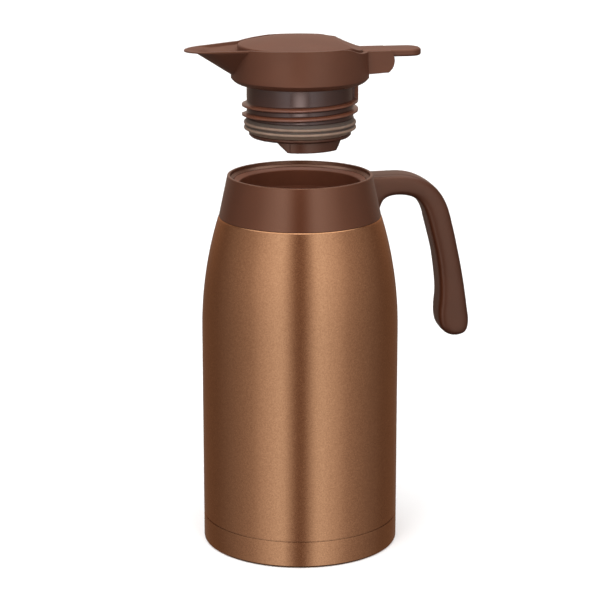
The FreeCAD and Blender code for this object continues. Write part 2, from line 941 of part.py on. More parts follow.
def dome_block(drop, radius):
    """Round cap under a ball, cut by the saddle that leads down to the lever, then lowered by a drop."""
    low = dome_edge - dome_skirt
    crown_edge = radius - dome_edge_round
    crown_angle = math.acos(crown_edge / dome_ball)
    crown_centre = dome_top - dome_ball
    crown_low = crown_centre + dome_ball * math.sin(crown_angle)
    eased = dome_edge_round * (1 - math.sin(math.pi / 4))
    cap = turned(
        at(0, low),
        at(radius, low),
        at(radius, crown_low - dome_edge_round),
        (at(radius - eased, crown_low - eased), at(crown_edge, crown_low)),
        arc_to(0, crown_centre, dome_ball, crown_angle, math.pi / 2),
    )
    cap = cap.cut(falling_cut(dome_fall_start, dome_top, dome_fall_end, lever_top))
    cap.translate(up * -drop)
    return cap


def lever_bar():
    """Flat lever with rounded end corners and eased edges."""
    half = lever_width / 2
    bar = block(lever_root, lever_end, -half, half, lever_low, lever_top)
    corners = []
    for edge in bar.Edges:
        box = edge.BoundBox
        if box.XMin > lever_root and box.ZLength > lever_thickness / 2:
            corners.append(edge)
    bar = bar.makeFillet(lever_end_round, corners)
    rims = []
    for edge in bar.Edges:
        box = edge.BoundBox
        if box.ZLength < fit_gap and box.XMax > lever_root + lever_edge_round:
            rims.append(edge)
    return bar.makeFillet(lever_edge_round, rims)


def lid_lever():
    """Domed cover and lever in one piece, with a knuckle for the hinge pin and two lugs for the link pin."""
    inner = dome_radius - dome_wall
    half = lever_width / 2
    hollow = dome_block(dome_wall, inner).common(
        block(-inner, lever_root, -inner, inner, dome_edge - dome_skirt - overrun, dome_top))
    cover = dome_block(0, dome_radius).cut(hollow)
    cover = cover.fuse(lever_bar())
    web = block(hinge_place - knuckle_radius, hinge_place + knuckle_radius, -half, half, hinge_height,
                lever_top - lever_edge_round)
    cover = cover.fuse(web).fuse(rod_along_y(hinge_place, hinge_height, knuckle_radius, -half, half))
    lug_low = stem_head_width / 2 + link_lug_gap
    ball_top = dome_top - dome_wall / 2
    for start in (lug_low, -lug_low - link_lug_wall):
        lug = block(-link_lug_radius, link_lug_radius, start, start + link_lug_wall, link_height, ball_top)
        cover = cover.fuse(lug)
        cover = cover.fuse(rod_along_y(0, link_height, link_lug_radius, start, start + link_lug_wall))
    cover = cover.cut(rod_along_y(0, link_height, link_pin_radius + fit_gap / 2, -ear_outer, ear_outer))
    return cover.cut(rod_along_y(hinge_place, hinge_height, hinge_pin_radius + pin_gap, -ear_outer, ear_outer))


def hinge_pin():
    start = hinge_pin_blind + fit_gap - ear_outer
    return rod_along_y(hinge_place, hinge_height, hinge_pin_radius, start, ear_outer)


def link_pin():
    reach = stem_head_width / 2 + link_lug_gap + link_lug_wall
    return rod_along_y(0, link_height, link_pin_radius, -reach, reach)


os.makedirs("parts", exist_ok=True)

for piece in (outer_shell, bottom_cap, vacuum_seal, base_disc, inner_vessel, foil_shield, getter,
              collar, neck_liner, liner_gasket, handle, handle_cover, handle_screws):
    save(piece(), piece.__name__)

for piece in (packing_ring, stopper_neck, seat_ring, valve_guide, valve_stem, valve_seal, return_spring,
              housing_packing, lid_housing, lid_lever, hinge_pin, link_pin):
    save(lifted(piece()), piece.__name__)
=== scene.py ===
import bpy
import math
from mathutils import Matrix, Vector


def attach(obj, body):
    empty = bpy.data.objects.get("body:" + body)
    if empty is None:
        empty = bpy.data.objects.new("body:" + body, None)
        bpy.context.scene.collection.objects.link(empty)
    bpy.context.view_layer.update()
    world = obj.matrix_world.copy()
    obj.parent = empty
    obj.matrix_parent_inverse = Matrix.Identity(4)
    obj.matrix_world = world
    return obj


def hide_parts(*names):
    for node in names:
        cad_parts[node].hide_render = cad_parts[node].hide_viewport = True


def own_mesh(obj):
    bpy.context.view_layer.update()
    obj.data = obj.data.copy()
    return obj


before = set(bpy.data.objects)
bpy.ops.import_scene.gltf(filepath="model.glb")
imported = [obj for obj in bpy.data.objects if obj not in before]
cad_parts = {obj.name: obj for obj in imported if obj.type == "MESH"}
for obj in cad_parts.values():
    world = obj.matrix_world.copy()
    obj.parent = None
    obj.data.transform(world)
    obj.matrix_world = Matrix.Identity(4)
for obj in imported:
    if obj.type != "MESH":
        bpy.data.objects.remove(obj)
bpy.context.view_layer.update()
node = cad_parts

# Steel jacket: a drawn stainless tube with its shoulder spun in, sprayed with bronze metallic paint.
# The paint is satin, with fine flakes under a thin clear coat. The neck inside the collar carries the mouth.
weld_distance = 0.000005
outline_weld_distance = 0.000001


def turned_piece(name, profile, steps):
    """Closed outline of radius and height points, spun round the pot's axis."""
    bpy.ops.object.select_all(action="DESELECT")
    bpy.ops.mesh.primitive_plane_add(size=0.001, location=(0, 0, 0))
    piece = bpy.context.active_object
    piece.name = name
    bpy.ops.object.mode_set(mode="EDIT")
    bpy.ops.mesh.select_all(action="SELECT")
    bpy.ops.mesh.merge(type="CENTER")
    across, height = profile[0]
    bpy.ops.transform.translate(value=(across, 0, height))
    for next_across, next_height in profile[1:] + profile[:1]:
        step = (next_across - across, 0, next_height - height)
        bpy.ops.mesh.extrude_region_move(TRANSFORM_OT_translate={"value": step})
        across, height = next_across, next_height
    bpy.ops.mesh.select_all(action="SELECT")
    bpy.ops.mesh.remove_doubles(threshold=outline_weld_distance)
    bpy.ops.mesh.spin(steps=steps, angle=2 * math.pi, center=(0, 0, 0), axis=(0, 0, 1))
    bpy.ops.mesh.select_all(action="SELECT")
    bpy.ops.mesh.remove_doubles(threshold=weld_distance)
    bpy.ops.mesh.normals_make_consistent(inside=False)
    bpy.ops.object.mode_set(mode="OBJECT")
    return piece


def ease_edges(piece, width, angle):
    """Rounds the edges sharper than an angle and shades the rest smooth."""
    bpy.context.view_layer.objects.active = piece
    bevel = piece.modifiers.new("eased", "BEVEL")
    bevel.width = width
    bevel.segments = 2
    bevel.limit_method = "ANGLE"
    bevel.angle_limit = math.radians(angle)
    bpy.ops.object.modifier_apply(modifier=bevel.name)
    bpy.ops.object.select_all(action="DESELECT")
    piece.select_set(True)
    bpy.ops.object.shade_smooth_by_angle(angle=math.radians(angle))


def arc_points(across, height, radius, first, last, count):
    """Points along an arc, in degrees, without its first one."""
    points = []
    for number in range(1, count + 1):
        angle = math.radians(first + (last - first) * number / count)
        points.append((across + radius * math.cos(angle), height + radius * math.sin(angle)))
    return points


jacket_radius = 0.0691
jacket_wall = 0.0006
seam_height = 0.0198
seam_edge = 0.001
shoulder_start = 0.156
shoulder_rise = 0.0793
shoulder_turn = 0.270
shoulder_centre = jacket_radius - shoulder_turn
shoulder_swing = math.degrees(math.asin(shoulder_rise / shoulder_turn))
shoulder_last_step = 0.2
shelf_height = 0.2361
shelf_edge = 0.0564
shelf_inside = 0.0533
shelf_ease = 0.0002
shelf_drop = 0.0009
neck_foot = 0.2500
neck_radius = 0.0462
neck_inside = neck_radius - jacket_wall
lip_height = 0.2560
body_steps = 192
jacket_profile = [(jacket_radius - jacket_wall, seam_height), (jacket_radius, seam_height)]
jacket_profile += [(jacket_radius, seam_height + seam_edge), (jacket_radius, shoulder_start)]
jacket_profile += arc_points(shoulder_centre, shoulder_start, shoulder_turn,
                             0, shoulder_swing - shoulder_last_step, 16)
jacket_profile += arc_points(shoulder_centre, shoulder_start, shoulder_turn,
                             shoulder_swing, shoulder_swing, 1)
jacket_profile += [(shelf_edge, shelf_height), (shelf_inside, shelf_height)]
jacket_profile += [(neck_radius, neck_foot), (neck_radius, lip_height), (neck_inside, lip_height)]
jacket_profile += [(neck_inside, neck_foot - shelf_ease)]
jacket_profile += [(shelf_inside - jacket_wall, shelf_height - jacket_wall)]
jacket_profile += [(shelf_edge - shelf_ease, shelf_height - shelf_drop)]
jacket_profile += arc_points(shoulder_centre, shoulder_start, shoulder_turn - jacket_wall,
                             shoulder_swing, 0, 8)
jacket = turned_piece("jacket", jacket_profile, body_steps)
ease_edges(jacket, width=0.0002, angle=20)


def new_finish(name):
    """A new material, with its node tree and its main shader."""
    material = bpy.data.materials.new(name)
    material.use_nodes = True
    return material, material.node_tree, material.node_tree.nodes["Principled BSDF"]


def fill_in(target, values):
    """Sets a node's sockets to numbers and colours, or joins them to the outputs of other nodes."""
    for socket, value in values.items():
        if isinstance(value, bpy.types.NodeSocket):
            target.id_data.links.new(value, target.inputs[socket])
        else:
            target.inputs[socket].default_value = value


def add_node(tree, kind, values):
    """A new node with its sockets filled in."""
    added = tree.nodes.new(kind)
    fill_in(added, values)
    return added


def cloud_pattern(tree, place, scale, detail):
    """A soft cloudy pattern, from 0 to 1."""
    cloud = add_node(tree, "ShaderNodeTexNoise", {"Vector": place, "Scale": scale, "Detail": detail})
    return cloud.outputs["Fac"]


def two_tone(tree, pattern, dark, light, first, last):
    """Colour from a dark tone to a light one, as a pattern rises from first to last."""
    shade = add_node(tree, "ShaderNodeValToRGB", {"Fac": pattern})
    shade.color_ramp.elements[0].position = first
    shade.color_ramp.elements[0].color = dark
    shade.color_ramp.elements[1].position = last
    shade.color_ramp.elements[1].color = light
    return shade.outputs["Color"]


def graded(tree, source, first, last, start, end):
    """A value that goes from start to end as its source goes from first to last."""
    grade = add_node(tree, "ShaderNodeMapRange", {
        "Value": source,
        "From Min": first,
        "From Max": last,
        "To Min": start,
        "To Max": end,
    })
    return grade.outputs["Result"]


def fine_relief(tree, pattern, strength, depth):
    """A shallow relief that follows a pattern."""
    return add_node(tree, "ShaderNodeBump", {"Height": pattern, "Strength": strength, "Distance": depth})


paint_dark = (0.395, 0.184, 0.084, 1)
paint_light = (0.520, 0.262, 0.127, 1)
paint_tint = (1, 0.72, 0.52, 1)
bronze_paint, tree, shader = new_finish("bronze_paint")
place = add_node(tree, "ShaderNodeTexCoord", {}).outputs["Object"]
flake = add_node(tree, "ShaderNodeTexVoronoi", {"Vector": place, "Scale": 1500}).outputs["Color"]
cloud = cloud_pattern(tree, place, scale=900, detail=3)
mottle = add_node(tree, "ShaderNodeMix", {"Factor": 0.5, "A": flake, "B": cloud}).outputs["Result"]
grain = fine_relief(tree, mottle, strength=0.06, depth=0.00005)
fill_in(shader, {
    "Metallic": 1,
    "Base Color": two_tone(tree, mottle, paint_dark, paint_light, 0.25, 0.75),
    "Roughness": graded(tree, cloud, 0, 1, 0.17, 0.25),
    "Specular Tint": paint_tint,
    "Coat Weight": 0.35,
    "Coat IOR": 1.6,
    "Coat Roughness": 0.26,
    "Normal": grain.outputs["Normal"],
})
jacket.data.materials.append(bronze_paint)
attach(jacket, "pot")
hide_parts("outer_shell")

# Base cup: pressed from the same sheet and painted with the jacket, with a rounded foot and a recess.
# Its lap slides up inside the jacket and is welded there, which leaves the fine groove above the base.
pump_hole = 0.0020
recess_height = 0.0030
recess_edge = 0.0561
recess_wall = 0.0007
foot_inside = 0.0581
foot_corner = 0.0020
foot_corner_inside = 0.00065
foot_outside = jacket_radius - foot_corner
cup_top = 0.0192
lap_radius = 0.06845
lap_top = 0.0258
cup_inside = foot_outside + foot_corner_inside
cup_profile = [(pump_hole, recess_height), (recess_edge, recess_height), (foot_inside, 0), (foot_outside, 0)]
cup_profile += arc_points(foot_outside, foot_corner, foot_corner, -90, 0, 6)
cup_profile += [(jacket_radius, cup_top - seam_edge), (jacket_radius, cup_top)]
cup_profile += [(lap_radius, cup_top), (lap_radius, lap_top)]
cup_profile += [(cup_inside, lap_top), (cup_inside, foot_corner)]
cup_profile += arc_points(foot_outside, foot_corner, foot_corner_inside, 0, -90, 3)
cup_profile += [(foot_inside, foot_corner - foot_corner_inside)]
cup_profile += [(recess_edge, recess_height + recess_wall), (pump_hole, recess_height + recess_wall)]
base_cup = turned_piece("base_cup", cup_profile, body_steps)
ease_edges(base_cup, width=0.0002, angle=30)
base_cup.data.materials.append(bronze_paint)
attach(base_cup, "pot")
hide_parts("bottom_cap")

# Bare steel: the inner bottle, the disc under the base, the handle's screws and the lid's pins.
# The bottle is drawn and brushed round its axis, so its fine lines run level.


def dress(names, material):
    """Gives CAD pieces a finish in place of their plain one."""
    for name in names:
        node[name].data.materials.clear()
        node[name].data.materials.append(material)


steel_dark = (0.50, 0.49, 0.47, 1)
steel_light = (0.70, 0.69, 0.67, 1)
line_stretch = (60, 60, 4200)
brushed_steel, tree, shader = new_finish("brushed_steel")
place = add_node(tree, "ShaderNodeTexCoord", {}).outputs["Object"]
stretched = add_node(tree, "ShaderNodeMapping", {"Vector": place, "Scale": line_stretch}).outputs["Vector"]
lines = cloud_pattern(tree, stretched, scale=1, detail=4)
grain = fine_relief(tree, lines, strength=0.12, depth=0.00005)
fill_in(shader, {
    "Metallic": 1,
    "Base Color": two_tone(tree, lines, steel_dark, steel_light, 0, 1),
    "Roughness": graded(tree, lines, 0, 1, 0.24, 0.44),
    "Normal": grain.outputs["Normal"],
})
dress(("inner_vessel", "base_disc", "handle_screws", "hinge_pin", "link_pin"), brushed_steel)
node["handle_screws"].visible_glossy = False

# Hidden metal inside the jacket: crinkled foil round the bottle, the getter under it and the solder bead.
# They are bright and a little uneven, as foil and melted metal are.


def crinkled_metal(name, dark, light, scale):
    """Bright metal with an uneven surface, finer with a larger scale."""
    material, tree, shader = new_finish(name)
    place = add_node(tree, "ShaderNodeTexCoord", {}).outputs["Object"]
    cloud = cloud_pattern(tree, place, scale, detail=5)
    grain = fine_relief(tree, cloud, strength=0.4, depth=0.0004)
    fill_in(shader, {
        "Metallic": 1,
        "Base Color": two_tone(tree, cloud, dark, light, 0, 1),
        "Roughness": 0.3,
        "Normal": grain.outputs["Normal"],
    })
    return material


bright_foil = crinkled_metal("bright_foil", scale=160,
                             dark=(0.72, 0.72, 0.73, 1), light=(0.86, 0.86, 0.87, 1))
solder = crinkled_metal("solder", scale=700,
                        dark=(0.45, 0.40, 0.31, 1), light=(0.62, 0.56, 0.44, 1))
dress(("foil_shield", "getter"), bright_foil)
dress(("vacuum_seal",), solder)

# Collar: a satin chocolate moulding that closes the jacket's shoulder and holds the lid in its recess.
# Its outside is a plain cone; the rim is rounded, and a sloping ledge leads to the mouth.


def moulded_plastic(name, dark, light, rough, sheen, grain_scale, grain_depth, ease):
    """Moulded plastic with a faint cloud in its colour, a fine eroded grain and eased edges."""
    rough_spread = 0.02
    material, tree, shader = new_finish(name)
    place = add_node(tree, "ShaderNodeTexCoord", {}).outputs["Object"]
    cloud = cloud_pattern(tree, place, scale=55, detail=4)
    fine = cloud_pattern(tree, place, grain_scale, detail=2)
    round_edge = add_node(tree, "ShaderNodeBevel", {"Radius": ease})
    round_edge.samples = 6
    grain = fine_relief(tree, fine, strength=0.25, depth=grain_depth)
    fill_in(grain, {"Normal": round_edge.outputs["Normal"]})
    fill_in(shader, {
        "Base Color": two_tone(tree, cloud, dark, light, 0.3, 0.7),
        "Roughness": graded(tree, cloud, 0, 1, rough - rough_spread, rough + rough_spread),
        "Specular IOR Level": sheen,
        "Specular Tint": (1, 0.66, 0.50, 1),
        "Normal": grain.outputs["Normal"],
    })
    return material


chocolate = moulded_plastic("chocolate_plastic",
                            dark=(0.049, 0.0135, 0.0060, 1), light=(0.056, 0.0158, 0.0072, 1),
                            rough=0.26, sheen=1.0, grain_scale=2600, grain_depth=0.00006, ease=0.0005)
chocolate_tint = (1, 0.56, 0.38, 1)
fill_in(chocolate.node_tree.nodes["Principled BSDF"], {"IOR": 1.66, "Specular Tint": chocolate_tint})
collar_foot = 0.05669
collar_foot_inside = 0.05409
cone_low = (0.0566, 0.236525)
cone_high = (0.0508, 0.263878)
rim_foot = (0.0507, 0.26435)
rim_round = 0.0009
rim_centre = (0.04985, 0.2643)
rim_inner_round = 0.0005
rim_inner_centre = (0.04915, 0.2647)
recess_radius = 0.0486
recess_floor = 0.2628
ledge_edge = 0.0461
ledge_height = 0.2613
ledge_under = 0.25935
ledge_root = 0.0491
collar_profile = [(collar_foot, shelf_height), cone_low, cone_high, rim_foot]
collar_profile += arc_points(*rim_centre, rim_round, 0, 90, 5)
collar_profile += arc_points(*rim_inner_centre, rim_inner_round, 90, 180, 4)
collar_profile += [(recess_radius, recess_floor), (ledge_edge, ledge_height), (ledge_edge, ledge_under)]
collar_profile += [(ledge_root, ledge_under), (collar_foot_inside, shelf_height)]
collar = turned_piece("collar_ring", collar_profile, body_steps)
ease_edges(collar, width=0.0003, angle=35)
collar.data.materials.append(chocolate)
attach(collar, "pot")
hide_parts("collar")

# Neck liner: a moulded sleeve with the inner thread, hung on the steel lip, with a soft gasket under it.
# Its crown shows as the step inside the collar's ledge.
liner_brown = moulded_plastic("liner_plastic",
                              dark=(0.150, 0.0472, 0.0244, 1), light=(0.172, 0.0550, 0.0288, 1),
                              rough=0.36, sheen=0.5, grain_scale=2200, grain_depth=0.00005, ease=0.0005)
dress(("neck_liner",), liner_brown)

# Handle: one hooked moulding screwed to the collar from inside, with a cover strip let into the grip.
# It is the collar's chocolate plastic with a matt finish, its base colour darkened as painted shade, and its
# edges are rounded off for the fingers.
# Painted shade: the base colour is darker than the collar's, to stand in for the shade on the handle.
handle_shaded_brown = moulded_plastic("handle_plastic",
                               dark=(0.041, 0.0120, 0.0060, 1), light=(0.050, 0.0150, 0.0076, 1),
                               rough=0.35, sheen=0.8, grain_scale=2000, grain_depth=0.00008, ease=0.0005)
dress(("handle_cover",), handle_shaded_brown)
node["handle_cover"].visible_glossy = False

handle_top = 0.2639
handle_start = 0.0567
handle_reach = 0.0646
handle_height = 0.1176
handle_half_width = 0.0125
cover_stand = 0.0002
root_inside = 0.035
root_cut = 0.0490
root_slope = (0.978, 0, 0.208)
rounding_cell = 0.001
rounding_passes = 120
outer_shares = (
    (0.10, -0.004), (0.20, -0.005), (0.30, 0.001), (0.416, 0.021), (0.616, 0.096), (0.722, 0.189),
    (0.784, 0.302), (0.848, 0.453), (0.917, 0.641), (0.969, 0.831), (0.990, 0.935), (0.952, 0.988))
inner_shares = (
    (0.870, 1.003), (0.748, 0.995), (0.660, 0.945), (0.634, 0.866), (0.650, 0.745), (0.636, 0.628),
    (0.605, 0.505), (0.549, 0.374), (0.495, 0.264), (0.440, 0.188), (0.352, 0.141), (0.248, 0.125),
    (0.100, 0.125), (0.014, 0.144), (-0.014, 0.174), (-0.050, 0.240))
outline = [(root_inside, handle_top)]
for shares, stand in ((outer_shares, 0), (inner_shares, cover_stand)):
    for reach_share, drop_share in shares:
        across = handle_start + handle_reach * reach_share + stand
        outline.append((across, handle_top - handle_height * drop_share))
outline.append((root_inside, outline[-1][1]))
bpy.ops.object.select_all(action="DESELECT")
bpy.ops.curve.primitive_bezier_curve_add(location=(0, 0, 0), rotation=(math.pi / 2, 0, 0))
grip = bpy.context.active_object
grip.name = "handle_bar"
grip.data.dimensions = "2D"
grip.data.fill_mode = "BOTH"
grip.data.extrude = handle_half_width
grip.data.resolution_u = 8
spline = grip.data.splines[0]
spline.use_cyclic_u = True
spline.bezier_points.add(len(outline) - 2)
for point, (across, height) in zip(spline.bezier_points, outline):
    point.co = (across, height, 0)
    kind = "VECTOR" if across == root_inside else "AUTO"
    point.handle_left_type = kind
    point.handle_right_type = kind
bpy.ops.object.convert(target="MESH")
grip = bpy.context.active_object
bpy.ops.object.transform_apply(location=True, rotation=True, scale=True)
bpy.ops.object.mode_set(mode="EDIT")
bpy.ops.mesh.select_all(action="SELECT")
bpy.ops.mesh.remove_doubles(threshold=weld_distance)
bpy.ops.mesh.normals_make_consistent(inside=False)
bpy.ops.object.mode_set(mode="OBJECT")
even = grip.modifiers.new("even", "REMESH")
even.mode = "VOXEL"
even.voxel_size = rounding_cell
bpy.ops.object.modifier_apply(modifier=even.name)
rounded = grip.modifiers.new("rounded", "SMOOTH")
rounded.factor = 0.5
rounded.iterations = rounding_passes
bpy.ops.object.modifier_apply(modifier=rounded.name)
bpy.ops.object.mode_set(mode="EDIT")
bpy.ops.mesh.select_all(action="SELECT")
bpy.ops.mesh.bisect(plane_co=(root_cut, 0, handle_top), plane_no=root_slope, use_fill=True, clear_inner=True)
bpy.ops.object.mode_set(mode="OBJECT")
bpy.ops.object.shade_smooth_by_angle(angle=math.radians(40))
grip.data.materials.clear()
grip.data.materials.append(handle_shaded_brown)
grip.visible_glossy = False
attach(grip, "pot")
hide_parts("handle")

# Soft rings: tan silicone, matt and faintly mottled, pressed over the stopper's spigot and under its flange.
# The packing's two round ribs press against the steel neck; painted shade darkens the grooves beside them,
# but not the lower lip.


def from_axis(tree, place):
    """How far each point of a piece lies from the pot's axis."""
    flat = tree.nodes.new("ShaderNodeVectorMath")
    flat.operation = "MULTIPLY"
    fill_in(flat, {0: place, 1: (1, 1, 0)})
    across = tree.nodes.new("ShaderNodeVectorMath")
    across.operation = "LENGTH"
    fill_in(across, {0: flat.outputs["Vector"]})
    return across.outputs["Value"]


def height_of(tree, place):
    """How high each point lies."""
    return add_node(tree, "ShaderNodeSeparateXYZ", {"Vector": place}).outputs["Z"]


def reckon(tree, operation, *values):
    """One sum on numbers and on the outputs of other nodes."""
    result = tree.nodes.new("ShaderNodeMath")
    result.operation = operation
    fill_in(result, dict(enumerate(values)))
    return result.outputs["Value"]


def colour_between(tree, share, first, second):
    """Colour that goes from the first to the second with a share from 0 to 1."""
    mixed = tree.nodes.new("ShaderNodeMix")
    mixed.data_type = "RGBA"
    fill_in(mixed, {"Factor": share, "A": first, "B": second})
    return mixed.outputs["Result"]


silicone_dark = (0.215, 0.143, 0.104, 1)
silicone_light = (0.275, 0.187, 0.138, 1)
# Painted shade: the dark brown laid into the grooves between the ribs.
groove_painted_shade = (0.082, 0.060, 0.048, 1)
groove_radius = 0.0375
rib_radius = 0.0386
lip_start = 0.2980
lip_end = 0.2975
silicone, tree, shader = new_finish("tan_silicone")
place = add_node(tree, "ShaderNodeTexCoord", {}).outputs["Object"]
cloud = cloud_pattern(tree, place, scale=220, detail=5)
# Painted shade mask: darker inside the ribs' radius, and left off below the lower lip.
raised = graded(tree, from_axis(tree, place), groove_radius, rib_radius, 0, 1)
low = graded(tree, height_of(tree, place), lip_start, lip_end, 0, 1)
unshaded_share = reckon(tree, "MAXIMUM", raised, low)
tan = two_tone(tree, cloud, silicone_dark, silicone_light, 0.3, 0.7)
grain = fine_relief(tree, cloud, strength=0.15, depth=0.0001)
fill_in(shader, {
    "Base Color": colour_between(tree, unshaded_share, groove_painted_shade, tan),
    "Roughness": graded(tree, cloud, 0, 1, 0.42, 0.58),
    "Subsurface Weight": 0.08,
    "Subsurface Scale": 0.002,
    "Normal": grain.outputs["Normal"],
})
dress(("liner_gasket", "housing_packing", "valve_seal"), silicone)

packing_hole = 0.03436
packing_foot = 0.2954
packing_top = 0.3057
packing_top_edge = 0.0368
packing_steps = 128
lip_tip = 0.0350
lip_slope = [(0.0368, 0.2972), (0.0373, 0.2978)]
rib_middle = 0.0377
rib_round = 0.0011
rib_swing = 75
lower_rib = 0.2988
upper_rib = 0.3023
middle_groove = [(0.0374, 0.3001), (0.0374, 0.3010)]
upper_groove = [(0.0374, 0.3036), (0.0372, 0.3052)]
packing_profile = [(packing_hole, packing_foot), (lip_tip, packing_foot)] + lip_slope
packing_profile += arc_points(rib_middle, lower_rib, rib_round, -rib_swing, rib_swing, 8)
packing_profile += middle_groove
packing_profile += arc_points(rib_middle, upper_rib, rib_round, -rib_swing, rib_swing, 8)
packing_profile += upper_groove
packing_profile += [(packing_top_edge, packing_top), (packing_hole, packing_top)]
packing = turned_piece("packing", packing_profile, packing_steps)
ease_edges(packing, width=0.0001, angle=40)
packing.data.materials.append(silicone)
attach(packing, "packing")
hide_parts("packing_ring")

# Stopper neck: a dark glossy moulding with the outer thread, its stop rib and a flange inside the lid.
# It is polished, so it mirrors the studio in soft upright bands, and the thread's ridges carry a painted
# highlight in a paler colour.
# Painted highlight: the paler colour laid on the thread's crests.
crest_painted_highlight = (0.150, 0.052, 0.028, 1)
thread_foot = 0.0369
thread_crest = 0.0386
dark_gloss = moulded_plastic("dark_gloss_plastic",
                             dark=(0.030, 0.0098, 0.0062, 1), light=(0.037, 0.0122, 0.0078, 1),
                             rough=0.22, sheen=0.9, grain_scale=900, grain_depth=0.00002, ease=0.0011)
tree = dark_gloss.node_tree
shader = tree.nodes["Principled BSDF"]
plain = shader.inputs["Base Color"].links[0].from_socket
place = add_node(tree, "ShaderNodeTexCoord", {}).outputs["Object"]
# Painted highlight: the paler crest colour grows with distance from the pot's axis.
crest_highlight_share = graded(tree, from_axis(tree, place), thread_foot, thread_crest, 0, 1)
fill_in(shader, {
    "Base Color": colour_between(tree, crest_highlight_share, plain, crest_painted_highlight),
    "Specular Tint": (1, 0.84, 0.80, 1),
})
dress(("stopper_neck",), dark_gloss)

# Valve pieces: the seat ring with its two lugs, the guide that screws into the neck, and the stem.
# They are reddish brown and half glossy.
red_brown = moulded_plastic("red_brown_plastic",
                            dark=(0.051, 0.0174, 0.0110, 1), light=(0.062, 0.0213, 0.0136, 1),
                            rough=0.26, sheen=0.8, grain_scale=1500, grain_depth=0.00004, ease=0.0015)
dress(("seat_ring", "valve_guide", "valve_stem"), red_brown)

# Return spring: one steel wire wound in five turns round the stem, from the valve head to the guide's hub.
# It is pressed together towards the hub as the lever lifts the valve.
wire_radius = 0.0006
wire_sides = 12
coil_radius = 0.0059
coil_foot = 0.3056
coil_rise = 0.00426
coil_turns = 5
coil_steps = 40
bpy.ops.object.select_all(action="DESELECT")
bpy.ops.mesh.primitive_circle_add(vertices=wire_sides, radius=wire_radius,
                                  location=(coil_radius, 0, coil_foot), rotation=(math.pi / 2, 0, 0))
spring = bpy.context.active_object
spring.name = "spring_coil"
bpy.ops.object.transform_apply(location=True, rotation=True, scale=True)
coil = spring.modifiers.new("coil", "SCREW")
coil.screw_offset = coil_rise
coil.iterations = coil_turns
coil.steps = coil_steps
coil.render_steps = coil_steps
bpy.ops.object.modifier_apply(modifier=coil.name)
bpy.ops.object.mode_set(mode="EDIT")
bpy.ops.mesh.select_all(action="SELECT")
bpy.ops.mesh.remove_doubles(threshold=weld_distance)
bpy.ops.mesh.fill_holes(sides=wire_sides)
bpy.ops.mesh.select_all(action="SELECT")
bpy.ops.mesh.normals_make_consistent(inside=False)
bpy.ops.object.mode_set(mode="OBJECT")
bpy.ops.object.shade_smooth_by_angle(angle=math.radians(45))
spring.data.materials.append(brushed_steel)
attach(spring, "stopper")
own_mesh(spring)
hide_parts("return_spring")

# Lid: the housing with its spout and ears, and the domed cover with its lever, hinged on a steel pin.
# Both are fine matt mouldings, a little lighter than the collar.
lid_brown = moulded_plastic("lid_plastic",
                            dark=(0.067, 0.0216, 0.0112, 1), light=(0.079, 0.0260, 0.0138, 1),
                            rough=0.47, sheen=0.95, grain_scale=2600, grain_depth=0.00006, ease=0.0006)
dress(("lid_housing", "lid_lever"), lid_brown)

# Studio cloths: a ring round the pot, a carpet, a roof and a small card, which only show in reflections.
# The ring is bright where two tall lamps would stand beside the camera and, high up, behind the pot.
# The card puts the bright upright band on the stopper's neck.


def show_in_reflections_only(piece, material):
    """Lets a cloth be seen in glossy surfaces alone, and light nothing else."""
    material.cycles.emission_sampling = "NONE"
    piece.data.materials.append(material)
    piece.visible_camera = False
    piece.visible_diffuse = False
    piece.visible_shadow = False
    piece.visible_transmission = False


black = (0, 0, 0, 1)
white = (1, 1, 1, 1)
view_turn = math.radians(-10)
ring_radius = 2.2
ring_depth = 4.4
ring_middle = 0.2
ring_light = 1.13
gap_widening = 0.1
glow_foot = -0.4
glow_top = 0.3
ring_levels = (
    (0, 0.19), (5, 0.24), (12, 0.60), (18, 0.94), (24, 0.97), (32, 0.85), (45, 0.69),
    (56, 0.47), (72, 0.36), (92, 0.26), (112, 0.185), (135, 0.185), (152, 0.18), (160, 0.19))
bpy.ops.object.select_all(action="DESELECT")
bpy.ops.mesh.primitive_cylinder_add(vertices=128, radius=ring_radius, depth=ring_depth,
                                    end_fill_type="NOTHING", location=(0, 0, ring_middle),
                                    rotation=(0, 0, view_turn - math.pi / 2))
ring = bpy.context.active_object
ring.name = "reflection_ring"
cloth, tree, shader = new_finish("ring_cloth")
tree.nodes.remove(shader)
place = add_node(tree, "ShaderNodeTexCoord", {}).outputs["Object"]
turn = add_node(tree, "ShaderNodeTexGradient", {"Vector": place})
turn.gradient_type = "RADIAL"
half_turn = reckon(tree, "ABSOLUTE", reckon(tree, "SUBTRACT", turn.outputs["Fac"], 0.5))
from_front = reckon(tree, "MULTIPLY", half_turn, 2)
high = graded(tree, height_of(tree, place), glow_foot, glow_top, 0, 1)
near_front = graded(tree, from_front, 80 / 180, 135 / 180, gap_widening, 0)
spread = reckon(tree, "MULTIPLY", near_front, high)
widened = reckon(tree, "MULTIPLY", from_front, reckon(tree, "SUBTRACT", 1, spread))
level = add_node(tree, "ShaderNodeValToRGB", {"Fac": widened})
for number, (degrees, bright) in enumerate(ring_levels):
    if number < 2:
        stop = level.color_ramp.elements[number]
    else:
        stop = level.color_ramp.elements.new(1)
    stop.position = degrees / 180
    # Dim cloth is redder than bright cloth, most of all in the gap straight in front.
    warm = 1
    if degrees < 10:
        warm = 0.78
    elif degrees >= 100:
        warm = 0.92
    green = bright * warm * (0.76 + 0.29 * bright)
    blue = bright * warm ** 2 * (0.65 + 0.46 * bright)
    stop.color = (bright, green, blue, 1)
behind = graded(tree, from_front, 120 / 180, 165 / 180, 0.2, 2)
glow = add_node(tree, "ShaderNodeEmission", {
    "Color": level.outputs["Color"],
    "Strength": reckon(tree, "MULTIPLY_ADD", behind, high, ring_light),
})
fill_in(tree.nodes["Material Output"], {"Surface": glow.outputs["Emission"]})
show_in_reflections_only(ring, cloth)

